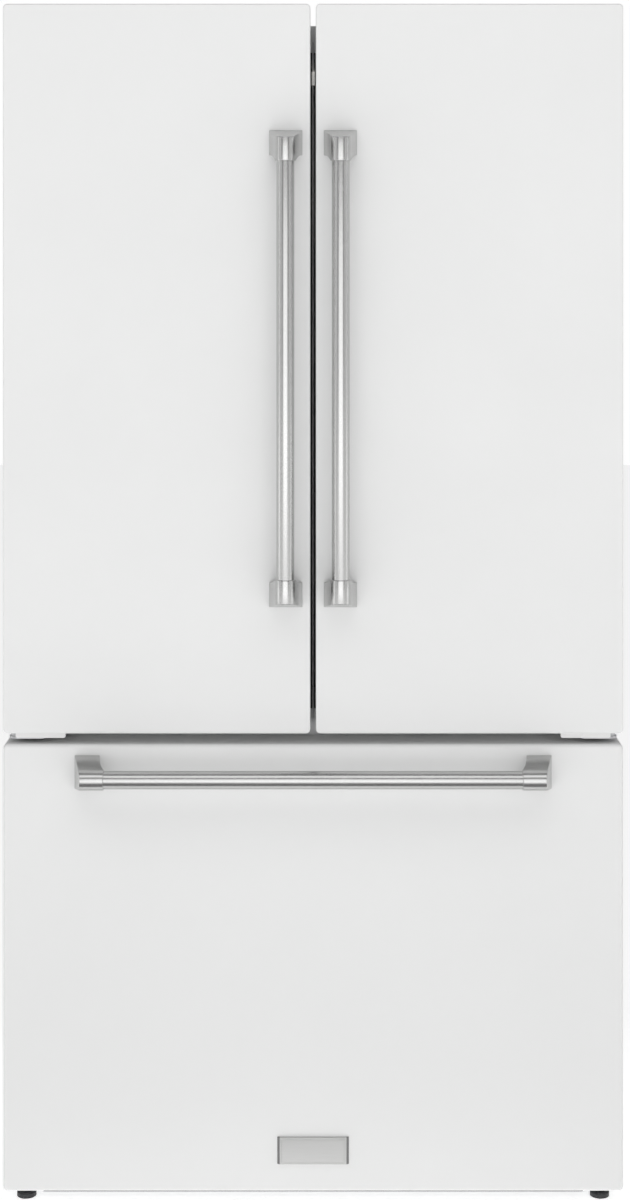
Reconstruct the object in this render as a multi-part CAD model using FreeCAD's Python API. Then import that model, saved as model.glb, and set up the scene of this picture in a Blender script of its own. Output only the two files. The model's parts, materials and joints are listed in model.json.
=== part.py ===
import FreeCAD, Part
import math
import os

# French door refrigerator: two hinged doors over one freezer drawer.
# Millimetres. Z is up, the front faces -Y, +X is to the right seen from the front.
# The origin is the bottom centre of the whole object's box, on the floor.

V = FreeCAD.Vector

# ---- overall sizes ----
width = 908.0             # across both doors
height = 1778.0           # floor to the tops of the doors
case_depth = 610.0        # cabinet, front frame to rear panel
door_thickness = 64.0
seal_space = 8.0          # rear of the doors to the front frame
drawer_lift = 40.0        # floor to the drawer front
drawer_height = 654.0
drawer_gap = 16.0         # drawer front to the doors
door_gap = 8.0            # between the two doors

# ---- cabinet ----
case_inset = 4.0          # doors stand out past the cabinet on each side
case_drop = 24.0          # doors stand up past the cabinet top
case_lift = 5.0           # cabinet bottom above the drawer front's lower edge
sheet = 0.8               # painted steel sheet
frame_sheet = 1.2         # front frame
liner = 1.5               # plastic liners
side_wall = 47.0
top_wall = 50.0
floor_wall = 50.0
rear_wall = 60.0
rail_below = 52.0         # centre rail, below the doors' lower edge
rail_above = 30.0         # centre rail, above the doors' lower edge
machine_depth = 190.0
machine_height = 255.0
step_wall = 45.0          # foam between the freezer and the machine compartment
slip = 0.3                # clearance between pieces that slide or seat
vent_rows = 4             # slots in the machine compartment's cover
vent_columns = 16
vent_length = 28.0
vent_height = 8.0

# ---- doors and drawer front ----
corner_radius = 6.5
door_edge = 2.5
drawer_edge = 5.0
dike_depth = 46.0         # raised rim of the inner liner
dike_wall = 22.0
dike_side = 11.0          # dike to the compartment's side wall
dike_mid = 52.0           # dike to the centre of the refrigerator
dike_end = 16.0           # dike to the compartment's top and floor
drawer_rim_side = 60.0    # low rim of the drawer's liner to the compartment's side wall
bin_count = 3
bin_height = 90.0
bin_reach = 111.0
bin_wall = 2.5
hinge_in = 18.0           # hinge axis from the door's outer side
hinge_back = 28.0         # hinge axis behind the door's front
pin_radius = 4.0
hinge_tip = 12.0          # rounded end of the hinge leaf
notch_width = 104.0       # hinge notch in the door's top rear corner
notch_front = 9.0
notch_drop = 2.0          # notch floor below the cabinet top
pin_reach = 17.0          # hinge pins into the door
bore_spare = 2.0          # bores past the pins' ends
hinge_drop = 7.7          # doors' lower edge to the top of the lower hinge's plate
hinge_sheet = 3.0
boss_radius = 10.0
leaf_width = 40.0
cover_depth = 96.0        # top hinge's cover behind the front frame
trim_length = 73.0        # white trim over the lower hinge
gasket_width = 14.0
gasket_inset = 22.0       # gasket from the door's outer side
gasket_lift = 8.0         # gasket above the doors' lower edge
gasket_drop = 25.0        # gasket below the cabinet top
drawer_gasket_lift = 27.0   # gasket above the cabinet bottom
drawer_gasket_drop = 14.0   # gasket below the drawer front's upper edge
lip_reach = 2.5           # soft lip past the door's inner side
lip_thickness = 1.5

# ---- handles ----
handle_length = 698.0
bar_radius = 12.85
bar_in = 18.0             # bar ends inside the brackets
handle_standoff = 51.0    # door front to the bar's axis
collar_radius = 14.5
foot_width = 48.5         # bracket foot across the bar
foot_length = 37.0        # bracket foot along the bar
foot_thickness = 4.0
bracket_shear = 0.235     # lean of the bracket towards the middle of the bar
handle_from_center = 39.9
drawer_handle_drop = 39.5  # drawer top edge to the bar's axis
plate_width = 104.6
plate_height = 39.5
plate_lift = 61.0         # drawer's lower edge to the name plate's middle
plate_thickness = 4.0

# ---- flip mullion ----
mullion_thickness = 20.0
mullion_width = 81.0
mullion_end_gap = 22.0
mullion_pivot = 33.0      # pivot from the door's inner side
lug_shares = (0.1, 0.5, 0.9)   # places of the hinge lugs along the mullion
lug_half = 12.0
lug_radius = 6.0
lug_pin = 3.0
lug_pin_reach = 9.0       # pin past the notch at each end

# ---- inside ----
bin_side_gap = 0.3
shelf_front = 113.0       # shelf fronts behind the front frame
shelf_levels = 2
shelf_bar = 14.0
glass = 4.0
tray_wall = 2.5
pantry_height = 118.0
crisper_height = 153.0
rack = 10.0
track_width = 14.0
track_depth = 6.0
track_step = 30.0         # pitch of the slots that take the shelf arms
duct_width = 80.0
duct_sheet = 4.0
vent_drop = 16.0
light_width = 300.0
light_depth = 100.0
rail_height = 36.0
rail_foot = 40.0          # foot screwed to the drawer's liner
foot_sheet = 12.0
basket_ledge = 20.0       # shelf on the rail that carries the lower basket
ledge_height = 8.0
tray_depth = 110.0
ledge_width = 18.0
rail_thickness = 7.7
rail_lift = 325.0         # runners above the freezer floor
ledge_lift = 405.0        # upper tray ledges above the freezer floor
panel_back = 80.0         # freezer back panel in front of the rear liner
panel_sheet = 3.0
fin_count = 28            # evaporator
fin = 1.0
coil_radius = 4.0
coil_levels = (0.2, 0.5, 0.8)
axle_radius = 3.0
motor_radius = 20.0
blade_count = 5
blade_twist = 35.0

# ---- base and machine compartment ----
frame_height = 20.0
leg_radius = 14.5
leg_disc = 8.0
leg_stem = 4.0
leg_side = 20.0           # leg axis from the cabinet's side
leg_back = 9.0            # leg axis behind the front frame
nut_radius = 7.5
nut_height = 5.0
wheel_radius = 20.0
wheel_width = 20.0
wheel_side = 50.0
wheel_back = 60.0
cheek = 3.0               # sides of the roller brackets
cheek_half = 25.0
bar_depth = 40.0          # front cross bar of the base
side_bar_width = 20.0
grille_bars = 20
compressor_radius = 68.0
compressor_height = 170.0
condenser_length = 230.0
condenser_height = 170.0
condenser_fins = 18
coil_columns = (0.15, 0.5, 0.85)
shroud_x = 10.0           # fan shroud from the middle of the refrigerator
shroud_sheet = 6.0
grommet_height = 10.0
fan_radius = 66.0
cold_fan_radius = 52.0

# ---- planes worked out from the sizes ----
handle_reach = handle_standoff + collar_radius
depth = handle_reach + door_thickness + seal_space + case_depth
y_face = handle_reach - depth / 2
y_slab = y_face + door_thickness
y_case = y_slab + seal_space
y_back = depth / 2
y_cavity = y_back - rear_wall
y_machine = y_back - machine_depth
y_step = y_machine - step_wall
x_door = width / 2
x_case = x_door - case_inset
x_cavity = x_case - side_wall
x_foam = x_cavity + liner
z_case = drawer_lift + case_lift
z_top = height - case_drop
z_drawer = drawer_lift + drawer_height
z_door = z_drawer + drawer_gap
z_freezer = z_case + floor_wall
z_freezer_top = z_door - rail_below
z_fridge = z_door + rail_above
z_fridge_top = z_top - top_wall
z_machine = z_case + machine_height
z_step = z_machine + step_wall
hinge_x = x_door - hinge_in
hinge_y = y_face + hinge_back

parts = {}


def span(x0, x1, y0, y1, z0, z1):
    """Box between two corners."""
    return Part.makeBox(x1 - x0, y1 - y0, z1 - z0, V(x0, y0, z0))


def rod(x, y, z, radius, length, direction=(0, 0, 1)):
    """Round bar that starts at a point and runs along a direction."""
    return Part.makeCylinder(radius, length, V(x, y, z), V(*direction))


def tube(x, y, z, outer, inner, length, direction=(0, 0, 1)):
    return rod(x, y, z, outer, length, direction).cut(rod(x, y, z, inner, length, direction))


def fuse(*shapes):
    first, *rest = shapes
    return first.fuse(rest).removeSplitter() if rest else first


def mirrored(shape):
    """The same piece on the other side of the refrigerator."""
    return shape.mirror(V(0, 0, 0), V(1, 0, 0))


def both(shape):
    """A piece and its mirrored twin, as two solids."""
    return group(shape, mirrored(shape))


def group(*shapes):
    return Part.makeCompound([solid for shape in shapes for solid in shape.Solids])


def edges_along(shape, direction):
    """Straight edges parallel to a direction."""
    picked = []
    for edge in shape.Edges:
        line = edge.lastVertex().Point - edge.firstVertex().Point
        if line.Length > 0 and line.cross(V(*direction)).Length < 1e-6 * line.Length:
            picked.append(edge)
    return picked


def edges_at_y(shape, y):
    return [edge for edge in shape.Edges
            if abs(edge.BoundBox.YMin - y) < 1e-6 and abs(edge.BoundBox.YMax - y) < 1e-6]


def slab(x0, x1, y0, y1, z0, z1, corner, front_edge):
    """Door slab: corners rounded in the plane of the door, then its front edges."""
    shape = span(x0, x1, y0, y1, z0, z1)
    shape = shape.makeFillet(corner, edges_along(shape, (0, 1, 0)))
    if front_edge:
        shape = shape.makeFillet(front_edge, edges_at_y(shape, y0))
    return shape


def open_tray(x0, x1, y0, y1, z0, z1, wall, radius=8.0):
    """Plastic drawer or bin: a floor and four walls, open at the top."""
    outer = span(x0, x1, y0, y1, z0, z1)
    outer = outer.makeFillet(radius, edges_along(outer, (0, 0, 1)))
    inner = span(x0 + wall, x1 - wall, y0 + wall, y1 - wall, z0 + wall, z1 + wall)
    inner = inner.makeFillet(radius - wall, edges_along(inner, (0, 0, 1)))
    return outer.cut(inner)


def ring_y(x0, x1, z0, z1, y0, y1, wall):
    """Rectangular ring in the plane of the door."""
    return span(x0, x1, y0, y1, z0, z1).cut(span(x0 + wall, x1 - wall, y0, y1, z0 + wall, z1 - wall))


def ring_z(x0, x1, y0, y1, z0, z1, wall):
    """Rectangular ring that lies flat."""
    return span(x0, x1, y0, y1, z0, z1).cut(span(x0 + wall, x1 - wall, y0 + wall, y1 - wall, z0, z1))


# ---- cabinet shell ----

def cabinet():
    left = span(-x_case, -x_case + sheet, y_case, y_back, z_case, z_top)
    top = span(-x_case + sheet, x_case - sheet, y_case, y_back, z_top - sheet, z_top)
    parts["outer_case"] = group(both(left), top)

    edge = x_case - sheet
    rear = span(-edge, edge, y_back - sheet, y_back, z_machine + sheet, z_top - sheet)
    roof = span(-x_foam, x_foam, y_machine, y_back, z_machine, z_machine + sheet)
    wall = span(-x_foam, x_foam, y_machine - sheet, y_machine, z_case + sheet, z_machine + sheet)
    parts["rear_panel"] = fuse(rear, roof, wall)

    y0, y1 = y_case, y_case + frame_sheet
    side = span(-edge, -x_cavity, y0, y1, z_case + sheet, z_top - sheet)
    head = span(-x_cavity, x_cavity, y0, y1, z_fridge_top, z_top - sheet)
    sill = span(-x_cavity, x_cavity, y0, y1, z_case + sheet, z_freezer)
    center = span(-x_cavity, x_cavity, y0, y1, z_freezer_top, z_fridge)
    parts["front_frame"] = group(both(side), head, sill, center)

    y0 = y_case + frame_sheet
    inside = y_back - sheet
    z0 = z_case + sheet
    side = span(-edge, -x_foam, y0, inside, z0, z_top - sheet)
    top = span(-x_foam, x_foam, y0, inside, z_fridge_top + liner, z_top - sheet)
    rear = span(-x_foam, x_foam, y_cavity + liner, inside, z_step - liner, z_fridge_top + liner)
    middle = span(-x_foam, x_foam, y0, y_cavity + liner, z_freezer_top + liner, z_fridge - liner)
    floor = span(-x_foam, x_foam, y0, y_machine - sheet, z0, z_freezer - liner)
    step = span(-x_foam, x_foam, y_step + liner, y_machine - sheet, z_freezer - liner, z_step - liner)
    over = span(-x_foam, x_foam, y_machine - sheet, inside, z_machine + sheet, z_step - liner)
    parts["insulation"] = group(both(side), top, rear, middle, floor, step, over)

    cavity = span(-x_cavity, x_cavity, y0, y_cavity, z_fridge, z_fridge_top)
    outer = span(-x_foam, x_foam, y0, y_cavity + liner, z_fridge - liner, z_fridge_top + liner)
    parts["fridge_liner"] = outer.cut(cavity)

    low = span(-x_cavity, x_cavity, y0, y_step, z_freezer, z_freezer_top)
    high = span(-x_cavity, x_cavity, y0, y_cavity, z_step, z_freezer_top)
    low_outer = span(-x_foam, x_foam, y0, y_step + liner, z_freezer - liner, z_freezer_top + liner)
    high_outer = span(-x_foam, x_foam, y0, y_cavity + liner, z_step - liner, z_freezer_top + liner)
    parts["freezer_liner"] = fuse(low_outer, high_outer).cut(fuse(low, high))

    cover = span(-edge, edge, y_back - sheet, y_back, z_case + sheet, z_machine)
    slots = []
    for row in range(vent_rows):
        for column in range(vent_columns):
            x = (column - (vent_columns - 1) / 2) * 1.78 * x_foam / vent_columns
            z = z_case + machine_height * (0.25 + 0.68 * row / vent_rows)
            slots.append(span(x - vent_length / 2, x + vent_length / 2, y_back - 2, y_back + 1,
                              z, z + vent_height))
    parts["machine_cover"] = cover.cut(Part.makeCompound(slots))


# ---- base: frame, rollers, legs, grille ----

def base():
    edge = x_case - sheet
    z0 = z_case - frame_height
    plate = span(-edge, edge, y_case, y_back - sheet, z_case, z_case + sheet)
    front_bar = span(-edge, edge, y_case, y_case + bar_depth, z0, z_case)
    leg_x = x_case - leg_side
    leg_y = y_case + leg_back
    for x in (-leg_x, leg_x):
        front_bar = front_bar.cut(rod(x, leg_y, z0, leg_stem + slip, frame_height))
    side_bar = span(-edge, -edge + side_bar_width, y_case + bar_depth, y_back - sheet, z0, z_case)
    rear_edge = edge - side_bar_width - 10
    rear_bar = span(-rear_edge, rear_edge, y_back - side_bar_width, y_back - sheet, z0, z_case)

    wheel_x = x_case - wheel_side
    wheel_y = y_back - wheel_back
    side = wheel_width / 2 + slip
    bracket = span(wheel_x - side - cheek, wheel_x + side + cheek, wheel_y - cheek_half,
                   wheel_y + cheek_half, wheel_radius - 2 * leg_stem, z_case)
    bracket = bracket.cut(span(wheel_x - side, wheel_x + side, wheel_y - cheek_half,
                               wheel_y + cheek_half, 0, wheel_radius * 2 + cheek / 2))
    axle = rod(wheel_x - side - cheek, wheel_y, wheel_radius, leg_stem, 2 * (side + cheek), (1, 0, 0))
    bracket = bracket.cut(axle)
    parts["base_frame"] = group(plate, front_bar, rear_bar, both(side_bar), both(bracket), both(axle))

    wheel = tube(wheel_x - wheel_width / 2, wheel_y, wheel_radius, wheel_radius, leg_stem + slip,
                 wheel_width, (1, 0, 0))
    parts["right_roller"] = wheel
    parts["left_roller"] = mirrored(wheel)

    disc = rod(leg_x, leg_y, 0, leg_radius, leg_disc)
    disc = disc.makeChamfer(2.0, [edge for edge in disc.Edges if edge.BoundBox.ZMin > leg_disc - 0.1])
    corners = []
    for index in range(7):
        turn = math.radians(60 * index)
        corners.append(V(leg_x + nut_radius * math.cos(turn), leg_y + nut_radius * math.sin(turn), leg_disc))
    nut = Part.Face(Part.makePolygon(corners)).extrude(V(0, 0, nut_height))
    leg = fuse(disc, nut, rod(leg_x, leg_y, leg_disc, leg_stem, z_case - leg_disc - 1))
    parts["right_leg"] = leg
    parts["left_leg"] = mirrored(leg)

    grille_x = leg_x - leg_radius - 12
    grille = span(-grille_x, grille_x, y_case - 3, y_case, 10, z_case - 0.5)
    slots = []
    for column in range(grille_bars):
        x = (column - (grille_bars - 1) / 2) * 1.9 * grille_x / grille_bars
        half = 0.6 * grille_x / grille_bars
        slots.append(span(x - half, x + half, y_case - 4, y_case + 1, 15, z0 - 2))
    parts["toe_grille"] = grille.cut(Part.makeCompound(slots))


# ---- doors: built for the left side, mirrored for the right ----

def door_box(front, rear, inset, corner, front_edge):
    """The left door's body, set in by a thickness, without the hinge notch."""
    return slab(-x_door + inset, -door_gap / 2 - inset, front, rear, z_door + inset, height - inset,
                corner, front_edge)


def hinge_notch(grow):
    """Room for the top hinge leaf in the top rear outer corner, grown into the door by a thickness."""
    return span(-x_door - 1, -x_door + notch_width + grow, y_face + notch_front - grow, y_slab + 1,
                z_top - notch_drop - grow, height + 1)


def door():
    outer = door_box(y_face, y_slab, 0, corner_radius, door_edge).cut(hinge_notch(0))
    core = door_box(y_face + sheet, y_slab, sheet, corner_radius - sheet, 0).cut(hinge_notch(sheet))
    depth_in = pin_reach + bore_spare
    bore = rod(-hinge_x, hinge_y, z_door - 1, pin_radius + slip, depth_in + 1)
    bore = bore.fuse(rod(-hinge_x, hinge_y, z_top - depth_in, pin_radius + slip, depth_in + 1))
    skin = outer.cut(core).cut(bore)

    back = span(-x_door, 0, y_slab - liner, y_slab, z_door, height)
    sheet_back = core.common(back)
    x0 = -x_cavity + dike_side
    x1 = -dike_mid
    z0 = z_fridge + dike_end
    z1 = z_fridge_top - dike_end - 4
    y1 = y_slab + dike_depth
    dike = ring_y(x0, x1, z0, z1, y_slab, y1, dike_wall)
    rim = dike_wall - 2 * liner
    hollow = []
    for a0, a1, c0, c1 in ((x0 + liner, x0 + liner + rim, z0 + liner, z1 - liner),
                           (x1 - liner - rim, x1 - liner, z0 + liner, z1 - liner),
                           (x0 + liner + rim, x1 - liner - rim, z0 + liner, z0 + liner + rim),
                           (x0 + liner + rim, x1 - liner - rim, z1 - liner - rim, z1 - liner)):
        hollow.append(span(a0, a1, y_slab - liner, y1 - liner, c0, c1))
    block = core.cut(back).cut(bore)
    shoulder = z_top - notch_drop - sheet
    notch_side = -x_door + notch_width + sheet
    low = block.common(span(-x_door, 0, y_face, y_slab, z_door, shoulder))
    high = block.common(span(notch_side, 0, y_face, y_slab, shoulder, height))
    strip = block.common(span(-x_door, notch_side, y_face, y_slab, shoulder, height))
    foam = [low, high, strip] + hollow
    panel = fuse(sheet_back, dike).cut(Part.makeCompound(hollow)).cut(bore)

    g0 = -x_door + gasket_inset
    g1 = -door_gap
    low_edge = z_door + gasket_lift
    top_edge = z_top - gasket_drop
    lip = span(g1, -door_gap / 2 + lip_reach, y_slab, y_slab + lip_thickness, low_edge, top_edge)
    gasket = fuse(ring_y(g0, g1, low_edge, top_edge, y_slab, y_case - slip, gasket_width), lip)

    bins = []
    clear = z1 - z0 - 2 * dike_wall
    for level in range(bin_count):
        z = z0 + dike_wall + 4 + level * clear / bin_count
        bins.append(open_tray(x0 + dike_wall + bin_side_gap, x1 - dike_wall - bin_side_gap,
                              y_slab + slip, y_slab + bin_reach, z, z + bin_height, bin_wall))
    return {"door_skin": skin, "door_foam": group(*foam), "door_liner": panel,
            "door_gasket": gasket, "door_bins": group(*bins)}


def bracket():
    """Handle bracket for the upper end of a bar along Z, with the door's front at y = 0."""
    half = foot_width / 2
    reach = math.hypot(half, handle_standoff - foot_thickness)
    lean = math.atan2(half, handle_standoff - foot_thickness) - math.asin(collar_radius / reach)
    run = math.sqrt(reach ** 2 - collar_radius ** 2)
    tangent = V(half - run * math.sin(lean), -foot_thickness - run * math.cos(lean), 0)
    tip = V(0, -handle_standoff - collar_radius, 0)
    flip = V(-tangent.x, tangent.y, 0)
    corners = [V(-half, -foot_thickness, 0), V(-half, 0, 0), V(half, 0, 0), V(half, -foot_thickness, 0)]
    outline = Part.Wire([
        Part.makeLine(corners[0], corners[1]), Part.makeLine(corners[1], corners[2]),
        Part.makeLine(corners[2], corners[3]), Part.makeLine(corners[3], tangent),
        Part.Arc(tangent, tip, flip).toShape(), Part.makeLine(flip, corners[0])])
    lean_out = bracket_shear * handle_reach
    top = handle_length / 2
    body = Part.Face(outline).extrude(V(0, 0, foot_length + lean_out))
    body.translate(V(0, 0, top - foot_length - lean_out))
    side = Part.makePolygon([
        V(-half - 1, 0, top), V(-half - 1, 0, top - foot_length),
        V(-half - 1, -handle_reach, top - foot_length - lean_out),
        V(-half - 1, -handle_reach, top - lean_out), V(-half - 1, 0, top)])
    return body.common(Part.Face(side).extrude(V(foot_width + 2, 0, 0)))


def handle():
    """Bar and two brackets, centred on the bar's middle at the door's front."""
    upper = bracket()
    lower = upper.mirror(V(0, 0, 0), V(0, 0, 1))
    end = handle_length / 2 - bar_in
    bar = rod(0, -handle_standoff, -end, bar_radius, 2 * end)
    return group(bar, upper.cut(bar), lower.cut(bar))


def placed(shape, x, y, z):
    moved = shape.copy()
    moved.translate(V(x, y, z))
    return moved


def doors():
    for node, shape in door().items():
        parts["left_" + node] = shape
        parts["right_" + node] = mirrored(shape)
    middle = (z_door + height) / 2
    parts["left_door_handle"] = placed(handle(), -handle_from_center, y_face, middle)
    parts["right_door_handle"] = placed(handle(), handle_from_center, y_face, middle)


def mullion():
    """Bar that swings on the left door's inner side; here it lies folded back."""
    half = mullion_thickness / 2
    px = -door_gap / 2 - mullion_pivot
    py = y_case + half
    z0 = z_fridge + mullion_end_gap
    z1 = z_fridge_top - mullion_end_gap
    bar = span(px - half, px + half, py, py + mullion_width - half, z0, z1)
    bar = fuse(bar, rod(px, py, z0, half, z1 - z0))
    lugs = []
    notch = lug_half + 1
    reach = notch + lug_pin_reach
    for share in lug_shares:
        z = z0 + share * (z1 - z0)
        bar = bar.cut(span(px - half - 1, px + half + 1, py - half - 1, py + half + 2, z - notch, z + notch))
        bar = bar.cut(rod(px, py, z - reach - 1, lug_pin + slip, 2 * reach + 2))
        lug = span(px - lug_radius, px + lug_radius, y_slab, py, z - lug_half, z + lug_half)
        barrel = rod(px, py, z - lug_half, lug_radius, 2 * lug_half)
        lugs.append(fuse(lug, barrel, rod(px, py, z - reach, lug_pin, 2 * reach)))
    parts["flip_mullion"] = bar
    parts["mullion_lugs"] = group(*lugs)


def hinges():
    """Top hinges with their covers, and the hinges on the centre rail with their trims."""
    tip = rod(-hinge_x, hinge_y, z_top, hinge_tip, hinge_sheet)
    leaf = span(-hinge_x - pin_radius, -hinge_x + leaf_width, hinge_y, y_case + cover_depth - 6,
                z_top, z_top + hinge_sheet)
    pin = rod(-hinge_x, hinge_y, z_top - pin_reach, pin_radius, pin_reach + hinge_sheet)
    top = fuse(tip, leaf, pin)
    cover = span(-x_case + 4, -hinge_x + leaf_width + 6, y_case + 3, y_case + cover_depth,
                 z_top, height - 3)
    cover = cover.makeFillet(5, edges_along(cover, (0, 0, 1)))
    inside = span(-x_case + 6, -hinge_x + leaf_width + 4, y_case, y_case + cover_depth - 2,
                  z_top - 1, height - 5)
    cover = cover.cut(inside)

    z1 = z_door - hinge_drop
    z0 = z1 - hinge_sheet
    flange = span(-hinge_x - hinge_tip + 2, -hinge_x + leaf_width + 20, y_case - hinge_sheet, y_case,
                  z_drawer - 12, z_door - 2)
    plate = fuse(rod(-hinge_x, hinge_y, z0, hinge_tip, hinge_sheet),
                 span(-hinge_x, -hinge_x + leaf_width, hinge_y - hinge_tip, y_case, z0, z1), flange)
    boss = rod(-hinge_x, hinge_y, z1, boss_radius, hinge_drop - slip)
    pin = rod(-hinge_x, hinge_y, z1, pin_radius, hinge_drop + pin_reach)
    parts["door_hinges"] = group(both(top), both(fuse(plate, boss, pin)))
    trim = span(-hinge_x, -hinge_x + trim_length, y_face + 7, y_slab - 1, z1, z_door - 0.5)
    trim = trim.makeFillet(3, [edge for edge in edges_along(trim, (0, 1, 0)) if edge.BoundBox.ZMin < z1 + 1])
    trim = trim.cut(rod(-hinge_x, hinge_y, z1 - 1, boss_radius + slip, hinge_drop + 4))
    parts["hinge_covers"] = group(both(cover), both(trim))


# ---- freezer drawer ----

def drawer():
    z0, z1 = drawer_lift, z_drawer
    outer = slab(-x_door, x_door, y_face, y_slab, z0, z1, corner_radius, drawer_edge)
    core = slab(-x_door + sheet, x_door - sheet, y_face + sheet, y_slab, z0 + sheet, z1 - sheet,
                corner_radius - sheet, 4.0)
    back = span(-x_door, x_door, y_slab - liner, y_slab, z0, z1)
    parts["drawer_skin"] = outer.cut(core)
    parts["drawer_foam"] = core.cut(back)
    rim_x = x_cavity - drawer_rim_side
    rim = ring_y(-rim_x, rim_x, z_freezer + dike_end, z_freezer_top - dike_end, y_slab, y_slab + 12, 10)
    parts["drawer_liner"] = fuse(core.common(back), rim)
    g = x_door - gasket_inset
    parts["drawer_gasket"] = ring_y(-g, g, z_case + drawer_gasket_lift, z_drawer - drawer_gasket_drop,
                                    y_slab, y_case - slip, gasket_width)

    bar = handle()
    bar.rotate(V(0, 0, 0), V(0, 1, 0), 90)
    parts["drawer_handle"] = placed(bar, 0, y_face, z_drawer - drawer_handle_drop)
    plate = span(-plate_width / 2, plate_width / 2, y_face - plate_thickness, y_face,
                 drawer_lift + plate_lift - plate_height / 2, drawer_lift + plate_lift + plate_height / 2)
    sides = [edge for edge in edges_along(plate, (0, 0, 1)) if edge.BoundBox.YMax < y_face - 1]
    parts["blank_plate"] = plate.makeChamfer(plate_thickness - 0.5, sides)


def freezer_inside():
    z0 = z_freezer + rail_lift
    z1 = z0 + rail_height
    x0 = x_cavity - rail_thickness
    step = rail_thickness + slip
    length = y_cavity - panel_back - 30 - y_case
    fixed = span(-x_cavity, -x0, y_case + 6, y_case + length, z0, z1)
    ledge_z = z_freezer + ledge_lift
    ledge_top = ledge_z + ledge_height
    ledge = span(-x_cavity, -x_cavity + ledge_width, y_case + 20, y_cavity - panel_back, ledge_z, ledge_top)
    parts["drawer_runners"] = group(both(fixed), both(ledge))
    carrier = span(-x0 + slip, -x0 + step, y_case + 6, y_case + length, z0, z1)
    parts["slide_carriers"] = both(carrier)
    rail_x = -x0 + step + slip
    inner = rail_x + rail_thickness
    rail = span(rail_x, inner, y_slab + foot_sheet, y_case + length, z0, z1)
    foot = span(rail_x, rail_x + rail_foot, y_slab, y_slab + foot_sheet, z0 - 20, z1 + 20)
    shelf = span(inner, inner + basket_ledge, y_slab + foot_sheet, y_step - 20, z1 - 4, z1 - 2)
    parts["drawer_rails"] = both(fuse(rail, foot, shelf))

    side = -inner - slip
    basket_side = side - basket_ledge - 2
    tub = open_tray(-basket_side, basket_side, y_case + 12, y_step - 24, z_freezer + 8, z1 + 8, tray_wall)
    flange = span(-side, -basket_side + 1, y_case + 20, y_step - 32, z1 - 2, z1 + 2)
    parts["lower_basket"] = fuse(tub, flange, mirrored(flange))

    tray_side = x_cavity - ledge_width - 8
    tray_y0 = y_case + 14
    tray_y1 = y_cavity - panel_back - 18
    tray_z = ledge_z - 20
    tub = open_tray(-tray_side, tray_side, tray_y0, tray_y1, tray_z, tray_z + tray_depth, tray_wall)
    flange = span(-x_cavity + 4, -tray_side + 1, tray_y0 + 20, tray_y1 - 20, ledge_top + slip, ledge_top + 5)
    parts["upper_tray"] = fuse(tub, flange, mirrored(flange))

    panel_y = y_cavity - panel_back
    panel = span(-x_cavity, x_cavity, panel_y, panel_y + panel_sheet, z_step, z_freezer_top)
    fan_z = z_freezer_top - cold_fan_radius - 24
    slots = [rod(0, panel_y - 1, fan_z, cold_fan_radius + 4, 6, (0, 1, 0))]
    for column in range(12):
        x = (column - 5.5) * x_cavity / 8
        slots.append(span(x - 12, x + 12, panel_y - 1, panel_y + 4, z_step + 14, z_step + 34))
    parts["freezer_back_panel"] = panel.cut(Part.makeCompound(slots))

    fins = []
    coil_x = 0.55 * x_cavity
    y0, y1 = panel_y + 12, y_cavity - 12
    z0, z1 = z_step + 12, fan_z - cold_fan_radius - 12
    for index in range(fin_count):
        x = -coil_x + index * 2 * coil_x / (fin_count - 1)
        fins.append(span(x - fin / 2, x + fin / 2, y0, y1, z0, z1))
    for level in coil_levels:
        for y in (y0 + 14, y1 - 14):
            z = z0 + level * (z1 - z0)
            fins.append(rod(-coil_x - 10, y, z, coil_radius, 2 * coil_x + 20, (1, 0, 0)))
    stand = span(-coil_x, -coil_x + 2, y0, y_cavity, z0, z1)
    parts["evaporator"] = fuse(*fins, stand, mirrored(stand))

    hub_y = panel_y + 10
    fan = rod(0, hub_y, fan_z, 14, 16, (0, 1, 0))
    for index in range(blade_count):
        blade = span(10, cold_fan_radius, -1, 1, -15, 15)
        blade.rotate(V(0, 0, 0), V(1, 0, 0), blade_twist)
        blade.rotate(V(0, 0, 0), V(0, 1, 0), 360 * index / blade_count)
        fan = fuse(fan, placed(blade, 0, hub_y + 8, fan_z))
    axle = rod(0, hub_y + 8, fan_z, axle_radius, 30, (0, 1, 0))
    parts["evaporator_fan"] = fan.cut(rod(0, hub_y - 1, fan_z, axle_radius + slip, 30, (0, 1, 0)))
    motor = rod(0, hub_y + 19, fan_z, motor_radius, y_cavity - hub_y - 19, (0, 1, 0))
    parts["fan_motor"] = fuse(motor, axle)


# ---- fridge compartment ----

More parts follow.
